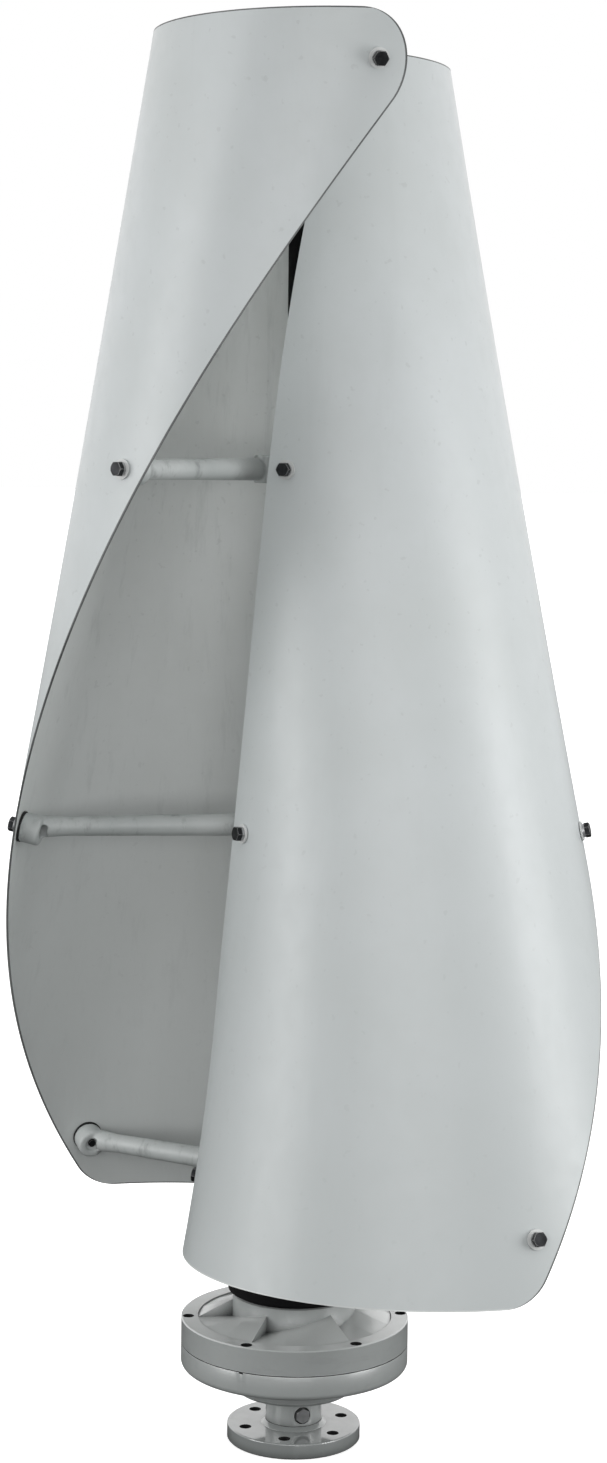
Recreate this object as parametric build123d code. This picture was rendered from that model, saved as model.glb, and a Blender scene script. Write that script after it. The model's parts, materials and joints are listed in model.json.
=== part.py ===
from build123d import *
import os
from math import asin, atan2, cos, hypot, radians, sin, tan

# Vertical axis wind turbine: two bent sheet blades on arms that clamp a central
# tube, turning on a flat disc generator with a flanged foot.
# Millimetres, +Z up, origin at the centre of the foot's underside.

# ---------------------------------------------------------------- foot flange
FOOT_R = 66.5
FOOT_THICK = 15.0
FOOT_HOLES = 6
FOOT_HOLE_R = 6.0
FOOT_PCD_R = 51.0
FOOT_HOLE_TURN = 20.0
FOOT_NECK_R = 32.5
FOOT_NECK_TOP = 18.7
STUB_R = 22.0
STUB_TOP = 44.0
STUB_BORE_R = 12.0

# ---------------------------------------------------------- generator housing
NECK_R = 28.0
NECK_BOTTOM = 19.0
NECK_TOP = 49.0
BOSS_R = 60.0
HOUSING_R = 113.7
HOUSING_BOTTOM = 67.0
SPLIT_Z = 97.0
SPLIT_GAP = 0.9
RIM_TOP = 122.3
RIM_INNER_R = 97.0
FLOOR_TOP = 110.0
HUB_R = 62.5
HUB_TOP = 147.0
CAVITY_BOTTOM = 73.5
CAVITY_TOP = 106.0
CAVITY_R = 92.0
COVER_BOLTS = 6
COVER_PCD_R = 106.6
COVER_BOLT_TURN = 4.2
SCREW_SINK = 12.0
RAMP_LOW = 122.0
RAMP_HIGH = 138.5
NECK_BOLT_Z = 29.5
NECK_BOLT_TURN = -71.3
CABLE_R = 2.8
CABLE_OUT_R = 88.3
CABLE_FLOOR_Z = 76.9
CABLE_TURN_Z = 54.0

# ----------------------------------------------------- rotor of the generator
JOURNAL_R = 12.5
BEARING_OUTER_R = 26.0
BEARING_WIDTH = 15.0
LOWER_BEARING_Z = 62.0
UPPER_BEARING_Z = 118.0
BALL_COUNT = 9
BALL_R = 3.95
BALL_PITCH_R = 19.25
RACE_GAP = 0.05
MAGNET_COUNT = 12
MAGNET_R = 12.0
MAGNET_THICK = 3.5
MAGNET_PITCH_R = 72.0
ROTOR_DISC_R = 84.5
ROTOR_DISC_THICK = 4.5
LOWER_DISC_Z = 81.5
UPPER_DISC_Z = 100.0
STATOR_Z = 90.3
STATOR_THICK = 5.4
STATOR_R = 99.0
COIL_COUNT = 9
COIL_OUTER_R = 19.0
COIL_INNER_R = 7.5

# ------------------------------------------------------------- mast and flange
DRIVE_R = 67.0
DRIVE_Z = 149.5
DRIVE_THICK = 10.0
TUBE_FLANGE_THICK = 8.0
HUB_BOLTS = 6
HUB_BOLT_PCD_R = 50.0
TUBE_R = 18.0
TUBE_WALL = 3.0
TUBE_TOP = 1368.0

# --------------------------------------------------------------------- blades
BLADE_BOTTOM = 195.4
BLADE_HEIGHT = 1190.1
SHEET = 3.0
# each section is part of an ellipse; values at the bottom, middle and top
CENTRE_X = (-126.4, -84.1, 26.4)
CENTRE_Y = (30.6, -54.4, -123.1)
HALF_WIDTH = (238.9, 167.1, 175.0)
HALF_DEPTH = (190.3, 159.7, 177.7)
# section angles of the two long edges at quarter heights
OUTER_EDGE = (113.6, 162.4, 208.2, 256.6, 308.0)
INNER_EDGE = (-30.8, 7.0, 35.7, 68.4, 110.2)
OUTER_CORNER_R = 52.0
INNER_CORNER_R = 40.0

# ----------------------------------------------------------- arms and hardware
ARM_LEVELS = (254.6, 611.2, 970.6, 1341.7)
LEVEL_NAMES = ("bottom", "lower", "upper", "top")
# distance of the fixing bolts from the long edges, one value per arm level
OUTER_INSETS = (30.0, 29.0, 30.0, 44.0)
INNER_INSETS = (25.0, 25.0, 21.5, 25.0)
ARM_OFFSET = 32.0
ARM_WAIST_R = 9.7
ARM_ROOT_R = 11.5
PAD_R = 15.0
PAD_DEPTH = 20.0
BOLT_REACH = 17.0
ROOT_DEPTH = 12.0
ROOT_SIDESTEP = 5.0
OPEN_PAD_SLANT = 0.3
RECESS_R = 7.5
GASKET = 2.0
CLAMP_HALF_LENGTH = 37.0
CLAMP_HEIGHT = 28.0
CLAMP_FACE = 44.0
CLAMP_SPLIT = 1.0
CLAMP_BOLT_SPAN = 26.5

# M8 hardware
M8_R = 4.0
M8_HOLE_R = 4.25
M8_ACROSS_FLATS = 13.0
M8_HEAD = 5.3
M8_NUT = 6.5
WASHER_R = 8.0
WIDE_WASHER_R = 9.6
WASHER = 1.6
SPRING_WASHER_R = 6.8
SPRING_WASHER = 2.2


# =================================================================== helpers
def ring(outer_r, inner_r, z, height):
    """Plain ring standing on height z."""
    body = Cylinder(outer_r, height, align=(Align.CENTER, Align.CENTER, Align.MIN))
    bore = Cylinder(inner_r, height, align=(Align.CENTER, Align.CENTER, Align.MIN))
    return Pos(0, 0, z) * (body - bore)


def disc(radius, z, height):
    """Plain disc standing on height z."""
    return Pos(0, 0, z) * Cylinder(radius, height, align=(Align.CENTER, Align.CENTER, Align.MIN))


def turned(points):
    """Solid of revolution about Z from (radius, z) corners."""
    outline = Polyline(*[(r, 0, z) for r, z in points], close=True)
    return revolve(make_face(outline), Axis.Z)


def around(shape, count, start=0.0):
    """Copies of a shape spread evenly about Z."""
    return [Rot(0, 0, start + 360.0 * i / count) * shape for i in range(count)]


def rod(start, direction, radius, length):
    """Cylinder from a point along a direction."""
    plane = Plane(origin=start, z_dir=direction)
    return plane * Cylinder(radius, length, align=(Align.CENTER, Align.CENTER, Align.MIN))


def hexagon(start, direction, across_flats, length):
    """Hexagonal prism from a point along a direction."""
    plane = Plane(origin=start, z_dir=direction)
    return extrude(plane * RegularPolygon(across_flats / 2, 6, major_radius=False), length)


def hex_bolt(seat, direction, shank_r, shank, across_flats, head):
    """Bolt whose head stands on the seat, head pointing along direction."""
    head_solid = hexagon(seat, direction, across_flats, head)
    crown = Plane(origin=seat, z_dir=direction) * Cone(
        across_flats * 0.5 + head * 1.05 + 0.4,
        across_flats * 0.5 - 0.2,
        head * 1.05,
        align=(Align.CENTER, Align.CENTER, Align.MIN),
    )
    back = Vector(*direction) * -1
    return (head_solid & crown) + rod(seat, back, shank_r, shank)


def socket_screw(seat, shank_r, shank, head_r, head, key):
    """Upright cap screw with its head standing on the seat."""
    x, y, z = seat
    body = Pos(x, y, z) * Cylinder(head_r, head, align=(Align.CENTER, Align.CENTER, Align.MIN))
    body += Pos(x, y, z - shank) * Cylinder(shank_r, shank, align=(Align.CENTER, Align.CENTER, Align.MIN))
    return body - hexagon((x, y, z + head * 0.45), (0, 0, 1), key, head)


def quadratic(values, t):
    """Value at t from the values at t = 0, 0.5 and 1."""
    low, middle, high = values
    return low * (1 - t) * (1 - 2 * t) + middle * 4 * t * (1 - t) + high * t * (2 * t - 1)


def quartic(values, t):
    """Value at t from the values at t = 0, 0.25, 0.5, 0.75 and 1."""
    total = 0.0
    for i, value in enumerate(values):
        weight = 1.0
        for j in range(len(values)):
            if j != i:
                weight *= (t - j / 4) / (i / 4 - j / 4)
        total += weight * value
    return total


# ==================================================================== blades
def blade_point(t, angle):
    """Point on the blade's outer face at height fraction t and section angle in degrees."""
    a = radians(angle)
    x = quadratic(CENTRE_X, t) + quadratic(HALF_WIDTH, t) * cos(a)
    y = quadratic(CENTRE_Y, t) + quadratic(HALF_DEPTH, t) * sin(a)
    return Vector(x, y, BLADE_BOTTOM + BLADE_HEIGHT * t)


def blade_normal(t, angle):
    """Unit normal of the blade's outer face, pointing out of the hollow side."""
    along = blade_point(t, angle + 0.5) - blade_point(t, angle - 0.5)
    upward = blade_point(t + 0.002, angle) - blade_point(t - 0.002, angle)
    return along.cross(upward).normalized()


def degrees_per_mm(t, angle):
    """How many degrees of section angle make one millimetre along the sheet."""
    return 1.0 / (blade_point(t, angle + 1.0) - blade_point(t, angle)).length


def blade_sheet():
    """Bent sheet before its corners and holes are cut."""
    rows = 24
    columns = 16
    grid = []
    for i in range(rows + 1):
        t = i / rows
        start = quartic(INNER_EDGE, t)
        end = quartic(OUTER_EDGE, t)
        grid.append([blade_point(t, start + (end - start) * j / columns) for j in range(columns + 1)])
    face = Face.make_surface_from_array_of_points(grid, tol=0.01, min_deg=3, max_deg=5)
    inward = blade_normal(0.5, 110.0) * -1
    return Solid.thicken(face, SHEET, normal_override=inward)


def corner_cutter(t, edge, inward, radius):
    """Tool that rounds one corner of the sheet; inward is +1 or -1 along the section angle."""
    corner = blade_point(t, quartic(edge, t))
    step = 0.02 if t < 0.5 else -0.02
    flat = (blade_point(t, quartic(edge, t) + inward * 6.0) - corner).normalized()
    tall = (blade_point(t + step, quartic(edge, t + step)) - corner).normalized()
    normal = flat.cross(tall).normalized()
    plane = Plane(origin=corner, x_dir=flat, z_dir=normal)
    opening = flat.get_angle(tall)
    reach = radius / tan(radians(opening) / 2)
    lean = radians(opening)
    side = Vector(cos(lean), sin(lean))
    centre = Vector(reach, radius)
    to_corner = (centre * -1).normalized()
    middle = centre + to_corner * radius
    margin = 30.0
    low = Vector(reach, 0)
    high = side * reach
    beyond_high = high + Vector(-side.Y, side.X) * margin
    far_corner = Vector(-radius - margin, -margin)
    below_low = Vector(reach, -margin)
    outline = Wire(
        [
            Edge.make_three_point_arc(low, middle, high),
            Edge.make_line(high, beyond_high),
            Edge.make_line(beyond_high, far_corner),
            Edge.make_line(far_corner, below_low),
            Edge.make_line(below_low, low),
        ]
    )
    return extrude(plane * Face(outline), 34.0, both=True)


def bolt_angles(z):
    """Section angles of the outer and inner fixing bolts at one arm level."""
    t = level_fraction(z)
    level = ARM_LEVELS.index(z)
    outer_edge = quartic(OUTER_EDGE, t)
    inner_edge = quartic(INNER_EDGE, t)
    outer = outer_edge - OUTER_INSETS[level] * degrees_per_mm(t, outer_edge)
    inner = inner_edge + INNER_INSETS[level] * degrees_per_mm(t, inner_edge)
    return outer, inner


def level_fraction(z):
    return (z - BLADE_BOTTOM) / BLADE_HEIGHT


def fixing_points(z):
    """Outer and inner fixing bolts of blade A at one arm level, each as (point, normal)."""
    t = level_fraction(z)
    return [(blade_point(t, angle), blade_normal(t, angle)) for angle in bolt_angles(z)]


def make_blade():
    blade = blade_sheet()
    blade -= corner_cutter(0.0, OUTER_EDGE, -1, OUTER_CORNER_R)
    blade -= corner_cutter(1.0, OUTER_EDGE, -1, OUTER_CORNER_R)
    blade -= corner_cutter(0.0, INNER_EDGE, 1, INNER_CORNER_R)
    blade -= corner_cutter(1.0, INNER_EDGE, 1, INNER_CORNER_R)
    for z in ARM_LEVELS:
        for point, normal in fixing_points(z):
            blade -= rod(point + normal * 10.0, normal * -1, M8_HOLE_R + 0.25, 20.0)
    return blade


# ====================================================================== arms
def arm_line(outer_start):
    """Direction and foot of the straight arm that passes the axis at ARM_OFFSET."""
    reach = hypot(outer_start.X, outer_start.Y)
    heading = atan2(-outer_start.Y, -outer_start.X) + asin(ARM_OFFSET / reach)
    direction = Vector(cos(heading), sin(heading), 0)
    behind = Vector(-direction.Y, direction.X, 0)
    if outer_start.dot(behind) < 0:
        heading = atan2(-outer_start.Y, -outer_start.X) - asin(ARM_OFFSET / reach)
        direction = Vector(cos(heading), sin(heading), 0)
        behind = Vector(-direction.Y, direction.X, 0)
    return direction, behind


def tapered_rod(start, end, start_r, end_r):
    """Round taper between two points."""
    span = end - start
    plane = Plane(origin=start, z_dir=span)
    return plane * Cone(start_r, end_r, span.length, align=(Align.CENTER, Align.CENTER, Align.MIN))


def pad(point, normal):
    """Round bolting pad behind the sheet, with its free end rounded."""
    seat = point - normal * (SHEET + GASKET)
    body = Plane(origin=seat, z_dir=normal * -1) * Cylinder(
        PAD_R, PAD_DEPTH, align=(Align.CENTER, Align.CENTER, Align.MIN)
    )
    far_rim = body.edges().filter_by(GeomType.CIRCLE).sort_by(lambda e: (e.center() - seat).length)[-1]
    return fillet(far_rim, 3.0), seat


def level_at(point, z):
    return Vector(point.X, point.Y, z)


def make_arm(z):
    """Cast arm that ties both long edges of blade A together behind the mast."""
    (outer_point, outer_normal), (inner_point, inner_normal) = fixing_points(z)
    outer_pad, outer_seat = pad(outer_point, outer_normal)
    inner_pad, inner_seat = pad(inner_point, inner_normal)
    outer_root = outer_seat - outer_normal * ROOT_DEPTH
    inner_root = inner_seat - inner_normal * ROOT_DEPTH
    direction, behind = arm_line(outer_root)
    foot = behind * ARM_OFFSET + Vector(0, 0, z)

    arm = outer_pad + inner_pad
    near_clamp = foot - direction * (CLAMP_HALF_LENGTH - 2.0)
    sideways = direction - outer_normal * direction.dot(outer_normal)
    open_end = sideways.length > OPEN_PAD_SLANT
    start = outer_root
    if open_end:
        start = outer_root + sideways.normalized() * ROOT_SIDESTEP
    run = near_clamp - start
    neck = start + run * (30.0 / run.length)
    arm += tapered_rod(start, neck, 11.5, ARM_WAIST_R)
    arm += tapered_rod(neck, near_clamp, ARM_WAIST_R, ARM_ROOT_R)
    arm += tapered_rod(foot + direction * 10.0, inner_root, ARM_ROOT_R, 10.5)

    along = Plane(origin=(0, 0, z), x_dir=direction, z_dir=(0, 0, 1))
    depth = CLAMP_FACE - CLAMP_SPLIT
    block = Box(2 * CLAMP_HALF_LENGTH, depth, CLAMP_HEIGHT, align=(Align.CENTER, Align.MIN, Align.CENTER))
    block = chamfer(block.edges().filter_by(Axis.Z).sort_by(Axis.Y)[-2:], 12.0)
    block = fillet(block.edges().group_by(Axis.Y)[-1], 3.0)
    arm += along * Pos(0, CLAMP_SPLIT, 0) * block
    arm -= disc(TUBE_R + 0.02, z - CLAMP_HEIGHT, 2 * CLAMP_HEIGHT)
    for side in (-1, 1):
        hole = Pos(side * CLAMP_BOLT_SPAN, 0, 0) * Rot(-90, 0, 0) * Cylinder(
            M8_HOLE_R, 140.0, align=(Align.CENTER, Align.CENTER, Align.CENTER)
        )
        arm -= along * hole
        spot = Pos(side * CLAMP_BOLT_SPAN, CLAMP_FACE - 3.0, 0) * Rot(-90, 0, 0) * Cylinder(
            9.0, 40.0, align=(Align.CENTER, Align.CENTER, Align.MIN)
        )
        arm -= along * spot
    for seat, normal in ((outer_seat, outer_normal), (inner_seat, inner_normal)):
        arm -= rod(seat + normal, normal * -1, M8_R + 0.1, BOLT_REACH + 2.0)
    if open_end:
        arm -= rod(outer_seat - outer_normal * (PAD_DEPTH - 4.0), outer_normal * -1, RECESS_R, 9.0)
    return arm


def clamp_hardware():
    """Bolts, washers and nuts that draw each pair of arms onto the mast."""
    bolts = []
    nuts = []
    washers = []
    for z in ARM_LEVELS:
        outer_point, outer_normal = fixing_points(z)[0]
        outer_root = level_at(outer_point - outer_normal * (SHEET + GASKET + ROOT_DEPTH), z)
        direction, behind = arm_line(outer_root)
        seat = CLAMP_FACE - 3.0
        for side in (-1, 1):
            axis_point = direction * (side * CLAMP_BOLT_SPAN) + Vector(0, 0, z)
            head_seat = axis_point + behind * (seat + WASHER + 0.04)
            bolts.append(hex_bolt(head_seat, behind, M8_R, 2 * seat + 14.0, M8_ACROSS_FLATS, M8_HEAD))
            washers.append(washer(axis_point + behind * (seat + 0.02), behind))
            washers.append(washer(axis_point - behind * (seat + 0.02), behind * -1))
            nut = hexagon(axis_point - behind * (seat + WASHER + 0.04), behind * -1, M8_ACROSS_FLATS, M8_NUT)
            nuts.append(nut - rod(axis_point, behind * -1, M8_R + 0.03, 80.0))
    return bolts, washers, nuts


def washer(seat, direction, radius=WASHER_R):
    return rod(seat, direction, radius, WASHER) - rod(seat, direction, M8_HOLE_R, WASHER)


def spring_washer(seat, direction):
    """Split lock washer."""
    body = rod(seat, direction, SPRING_WASHER_R, SPRING_WASHER)
    body -= rod(seat, direction, M8_HOLE_R, SPRING_WASHER)
    slit = Plane(origin=seat, z_dir=direction) * Pos(5.5, 0, 0) * Rot(25, 0, 0) * Box(6.0, 0.8, 12.0)
    return body - slit


def half_turn(shape):
    return Rot(0, 0, 180) * shape


def blade_hardware(edge_index):
    """Bolts, washers and lock washers along one long edge of both blades."""
    bolts = []
    washers = []
    locks = []
    for z in ARM_LEVELS:
        point, normal = fixing_points(z)[edge_index]
        face = point + normal * 0.03
        lock_seat = face + normal * (WASHER + 0.02)
        head_seat = lock_seat + normal * (SPRING_WASHER + 0.02)
        stack = SHEET + GASKET + WASHER + SPRING_WASHER
        bolt = hex_bolt(head_seat, normal, M8_R, stack + BOLT_REACH, M8_ACROSS_FLATS, M8_HEAD)
        bolts += [bolt, half_turn(bolt)]
        flat = washer(face, normal, WIDE_WASHER_R)
        washers += [flat, half_turn(flat)]
        lock = spring_washer(lock_seat, normal)
        locks += [lock, half_turn(lock)]
    return bolts, washers, locks


def blade_gaskets(blade):
    """Rubber pads between blade A and its arms, shaped to the sheet."""
    pads = []
    for z in ARM_LEVELS:
        for point, normal in fixing_points(z):
            seat = point - normal * (SHEET + GASKET)
            body = rod(seat, normal, PAD_R + 0.6, GASKET + 1.5)
            body -= rod(seat - normal, normal, M8_HOLE_R, 8.0)
            body -= blade
            pads.append(body.solids().sort_by(lambda s: (s.center() - seat).length)[0])
    return pads


# ============================================================ mast and flange
def make_mast_tube():
    base = DRIVE_Z + DRIVE_THICK
    return ring(TUBE_R, TUBE_R - TUBE_WALL, base + 0.02, TUBE_TOP - base)


def make_tube_flange():
    """Ring welded to the foot of the mast."""
    z = DRIVE_Z + DRIVE_THICK
    body = ring(DRIVE_R, TUBE_R + 0.02, z, TUBE_FLANGE_THICK)
    weld = turned([(TUBE_R + 0.02, z + 7.9), (TUBE_R + 6.0, z + 7.9), (TUBE_R + 0.02, z + 14.0)])
    body = body + weld
    for hole in around(Pos(HUB_BOLT_PCD_R, 0, z) * Cylinder(M8_HOLE_R, 40.0), HUB_BOLTS, 30.0):
        body -= hole
    return body


def make_drive_flange():
    """Disc keyed to the generator shaft."""
    body = ring(DRIVE_R, 10.02, DRIVE_Z, DRIVE_THICK)
    low_rims = body.edges().filter_by(GeomType.CIRCLE).group_by(Axis.Z)[0]
    body = chamfer(low_rims.sort_by(SortBy.RADIUS)[-1], 1.0)
    body -= Pos(10.0, 0, DRIVE_Z) * Box(4.8, 5.04, 60.0)
    for hole in around(Pos(HUB_BOLT_PCD_R, 0, DRIVE_Z) * Cylinder(M8_HOLE_R, 40.0), HUB_BOLTS, 30.0):
        body -= hole
    nut_pocket = hexagon((HUB_BOLT_PCD_R, 0, DRIVE_Z - 0.5), (0, 0, 1), M8_ACROSS_FLATS + 0.2, 6.0)
    for pocket in around(nut_pocket, HUB_BOLTS, 30.0):
        body -= pocket
    return body


def hub_hardware():
    top = DRIVE_Z + DRIVE_THICK + TUBE_FLANGE_THICK
    upright = Vector(0, 0, 1)
    bolt = hex_bolt(Vector(HUB_BOLT_PCD_R, 0, top + 1.64), upright, M8_R, 19.0, M8_ACROSS_FLATS, M8_HEAD)
    flat = washer(Vector(HUB_BOLT_PCD_R, 0, top + 0.02), upright)
    nut = hexagon((HUB_BOLT_PCD_R, 0, DRIVE_Z + 0.3), (0, 0, 1), M8_ACROSS_FLATS, 5.1)
    nut -= Pos(HUB_BOLT_PCD_R, 0, DRIVE_Z) * Cylinder(M8_R + 0.03, 40.0)
    return around(bolt, HUB_BOLTS, 30.0), around(flat, HUB_BOLTS, 30.0), around(nut, HUB_BOLTS, 30.0)


def make_mast_cap():
    """Plastic plug in the top of the mast."""
    plug = ring(TUBE_R - TUBE_WALL - 0.05, 11.0, TUBE_TOP - 14.0, 14.05)
    lid = disc(TUBE_R + 1.0, TUBE_TOP + 0.04, 4.0)
    lid = fillet(lid.edges().group_by(Axis.Z)[-1], 2.5)
    return plug + lid


# ================================================================= generator
def cable_route():
    """Centre line of the cable: stator edge, chamber floor, then down through the hollow stub."""
    drop_r = 36.0
    corners = [
        (CABLE_OUT_R, 0, STATOR_Z - 0.1),
        (CABLE_OUT_R, 0, CABLE_FLOOR_Z),
        (drop_r, 0, CABLE_FLOOR_Z),
        (drop_r, 0, CABLE_TURN_Z),
        (0, 0, CABLE_TURN_Z),
        (0, 0, 3.0),
    ]
    return FilletPolyline(*corners, radius=4.4)


def cable(radius):
    route = cable_route()
    return sweep(Plane(origin=route @ 0, z_dir=route % 0) * Circle(radius), path=route)


def make_base_flange():
    body = disc(FOOT_R, 0, FOOT_THICK)
    body = chamfer(body.edges().group_by(Axis.Z)[0], 1.0)
    body = fillet(body.edges().group_by(Axis.Z)[-1], 1.2)
    neck = disc(FOOT_NECK_R, FOOT_THICK - 1.0, FOOT_NECK_TOP - FOOT_THICK + 1.0)
    body += chamfer(neck.edges().group_by(Axis.Z)[-1], 3.6)
    body += disc(STUB_R, FOOT_THICK, STUB_TOP - FOOT_THICK)
    body -= disc(STUB_BORE_R, -1.0, STUB_TOP + 2.0)
    for hole in around(Pos(FOOT_PCD_R, 0, 0) * Cylinder(FOOT_HOLE_R, 60.0), FOOT_HOLES, FOOT_HOLE_TURN):
        body -= hole
    return body


def make_lower_cover():
    """Bottom half of the generator housing, with bearing seat and neck socket."""
    body = turned(
        [
            (0, NECK_BOTTOM),
            (NECK_R, NECK_BOTTOM),
            (NECK_R, NECK_TOP - 3.0),
            (NECK_R + 3.0, NECK_TOP),
            (BOSS_R - 3.0, NECK_TOP),
            (BOSS_R, NECK_TOP + 3.0),
            (BOSS_R, HOUSING_BOTTOM - 3.0),
            (BOSS_R + 4.0, HOUSING_BOTTOM),
            (HOUSING_R - 22.0, HOUSING_BOTTOM + 0.5),
            (HOUSING_R, HOUSING_BOTTOM + 8.0),
            (HOUSING_R, SPLIT_Z),
            (0, SPLIT_Z),
        ]
    )
    bend = body.edges().filter_by(GeomType.CIRCLE).filter_by(
        lambda e: abs(e.radius - HOUSING_R + 22.0) < 0.1 or abs(e.center().Z - HOUSING_BOTTOM - 8.0) < 0.1
    )
    body = fillet(bend, 6.0)
    body -= disc(CAVITY_R, CAVITY_BOTTOM, 40.0)
    seat_top = LOWER_BEARING_Z + BEARING_WIDTH
    body += disc(BEARING_OUTER_R + 5.0, CAVITY_BOTTOM - 1.0, seat_top + 1.0 - CAVITY_BOTTOM)
    body -= disc(STATOR_R + 0.05, STATOR_Z - 0.02, 40.0)
    body -= disc(BEARING_OUTER_R, LOWER_BEARING_Z, 60.0)
    body -= disc(20.0, LOWER_BEARING_Z - 2.5, 5.0)
    body -= disc(STUB_R + 0.04, NECK_BOTTOM - 1.0, STUB_TOP - NECK_BOTTOM + 1.5)
    body -= cable(CABLE_R + 0.2)
    for hole in around(Pos(COVER_PCD_R, 0, SPLIT_Z) * Cylinder(3.1, 28.0), COVER_BOLTS, COVER_BOLT_TURN):
        body -= hole
    for hole in around(set_bolt_recess(), 2, NECK_BOLT_TURN):
        body -= hole
    for notch in around(Pos(HOUSING_R, 0, SPLIT_Z) * Box(5.0, 4.5, 2.6), 2, COVER_BOLT_TURN - 121.0):
        body -= notch
    return body


def set_bolt_recess():
    """Threaded hole and counterbore for one neck bolt, along +X."""
    hole = rod((STUB_R - 1.0, 0, NECK_BOLT_Z), (1, 0, 0), M8_R + 0.1, 20.0)
    return hole + rod((NECK_R - 3.2, 0, NECK_BOLT_Z), (1, 0, 0), 8.4, 12.0)


def neck_bolts():
    seat = Vector(NECK_R - 3.0, 0, NECK_BOLT_Z)
    bolt = hex_bolt(seat, Vector(1, 0, 0), M8_R, NECK_R - 3.1 - STUB_R, M8_ACROSS_FLATS, M8_HEAD)
    return around(bolt, 2, NECK_BOLT_TURN)


def make_ramp():
    """One sixth of the crown: a slope that climbs the hub counter-clockwise and ends in a drop."""
    steps = 3
    rim_z = RIM_TOP - 1.2
    base = FLOOR_TOP - 2.0
    inner_r = HUB_R - 4.0
    outer_r = RIM_INNER_R + 2.0
    sections = []
    for i in range(steps + 1):
        hub_z = RAMP_LOW + (RAMP_HIGH - RAMP_LOW) * i / steps
        fall = (hub_z - rim_z) / (RIM_INNER_R - HUB_R)
        inner_z = hub_z + fall * (HUB_R - inner_r)
        outer_z = rim_z - fall * (outer_r - RIM_INNER_R)
        corners = [(inner_r, 0, base), (outer_r, 0, base), (outer_r, 0, outer_z), (inner_r, 0, inner_z)]
        outline = Wire.make_polygon([Vector(*corner) for corner in corners])
        sections.append(Rot(0, 0, 60.0 * i / steps) * outline)
    return Solid.make_loft(sections, ruled=True)


def make_upper_cover():
    """Top half of the housing, with a stepped crown around the bearing hub."""
    body = turned(
        [
            (0, SPLIT_Z + SPLIT_GAP),
            (HOUSING_R, SPLIT_Z + SPLIT_GAP),
            (HOUSING_R, RIM_TOP - 1.0),
            (HOUSING_R - 1.0, RIM_TOP),
            (RIM_INNER_R, RIM_TOP),
            (RIM_INNER_R - 4.0, FLOOR_TOP),
            (HUB_R + 4.0, FLOOR_TOP),
            (HUB_R, FLOOR_TOP + 6.0),
            (HUB_R, HUB_TOP - 1.5),
            (HUB_R - 1.5, HUB_TOP),
            (0, HUB_TOP),
        ]
    )
    for ramp in around(make_ramp(), COVER_BOLTS, COVER_BOLT_TURN):
        body += ramp
    body -= disc(CAVITY_R, SPLIT_Z - 1.0, CAVITY_TOP - SPLIT_Z + 1.0)
    body -= disc(30.0, SPLIT_Z, UPPER_BEARING_Z - 4.0 - SPLIT_Z)
    body -= disc(BEARING_OUTER_R - 5.0, CAVITY_TOP, 20.0)
    body -= disc(BEARING_OUTER_R, UPPER_BEARING_Z, BEARING_WIDTH + 2.0)
    body -= disc(22.0, UPPER_BEARING_Z + BEARING_WIDTH, 8.0)
    body -= disc(20.0, UPPER_BEARING_Z, 60.0)
    for place in around(Pos(COVER_PCD_R, 0, 0), COVER_BOLTS, COVER_BOLT_TURN):
        body -= place * Cylinder(3.3, 400.0)
        body -= place * disc(5.7, RIM_TOP - SCREW_SINK, 40.0)
    return body


def make_cover_gasket():
    body = ring(HOUSING_R - 1.5, STATOR_R + 0.05, SPLIT_Z + 0.02, SPLIT_GAP - 0.04)
    for hole in around(Pos(COVER_PCD_R, 0, SPLIT_Z) * Cylinder(3.3, 10.0), COVER_BOLTS, COVER_BOLT_TURN):
        body -= hole
    return body


def cover_bolts():
    screw = socket_screw((COVER_PCD_R, 0, RIM_TOP - SCREW_SINK + 0.04), 3.0, 26.0, 5.0, 6.0, 5.0)
    return around(screw, COVER_BOLTS, COVER_BOLT_TURN)


def bearing_race(outer_r, inner_r, z):
    """One ring of a deep groove ball bearing."""
    body = ring(outer_r, inner_r, z, BEARING_WIDTH)
    body = chamfer(body.edges().filter_by(GeomType.CIRCLE), 0.4)
    groove = Pos(0, 0, z + BEARING_WIDTH / 2) * Torus(BALL_PITCH_R, BALL_R + RACE_GAP)
    return body - groove


def bearing_balls(z):
    ball = Pos(BALL_PITCH_R, 0, z + BEARING_WIDTH / 2) * Sphere(BALL_R)
    return around(ball, BALL_COUNT)


def make_ball_cage(z):
    """Thin cage that keeps the balls apart."""
    middle = z + BEARING_WIDTH / 2
    body = ring(BALL_PITCH_R + 1.2, BALL_PITCH_R - 1.2, middle - 5.0, 10.0)
    for pocket in around(rod((BALL_PITCH_R - 5.0, 0, middle), (1, 0, 0), BALL_R + 0.08, 10.0), BALL_COUNT):
        body -= pocket
    return body


def make_shaft():
    """Generator shaft with disc seat, journals, keyway and threaded nose."""
    body = turned(
        [
            (0, LOWER_BEARING_Z - 1.5),
            (JOURNAL_R - 1.0, LOWER_BEARING_Z - 1.5),
            (JOURNAL_R, LOWER_BEARING_Z - 0.5),
            (JOURNAL_R, LOWER_BEARING_Z + BEARING_WIDTH + 0.02),
            (17.5, LOWER_BEARING_Z + BEARING_WIDTH + 0.02),
            (17.5, LOWER_DISC_Z - 0.02),
            (15.0, LOWER_DISC_Z - 0.02),
            (15.0, UPPER_BEARING_Z - 0.02),
            (JOURNAL_R, UPPER_BEARING_Z - 0.02),
            (JOURNAL_R, DRIVE_Z - 0.02),
            (10.0, DRIVE_Z - 0.02),
            (10.0, DRIVE_Z + DRIVE_THICK + 0.5),
            (8.0, DRIVE_Z + DRIVE_THICK + 0.5),
            (8.0, DRIVE_Z + DRIVE_THICK + 20.0),
            (7.0, DRIVE_Z + DRIVE_THICK + 21.0),
            (0, DRIVE_Z + DRIVE_THICK + 21.0),
        ]
    )
    body -= Pos(8.8, 0, DRIVE_Z + 5.0) * Box(3.02, 5.04, 8.04)
    return body


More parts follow.
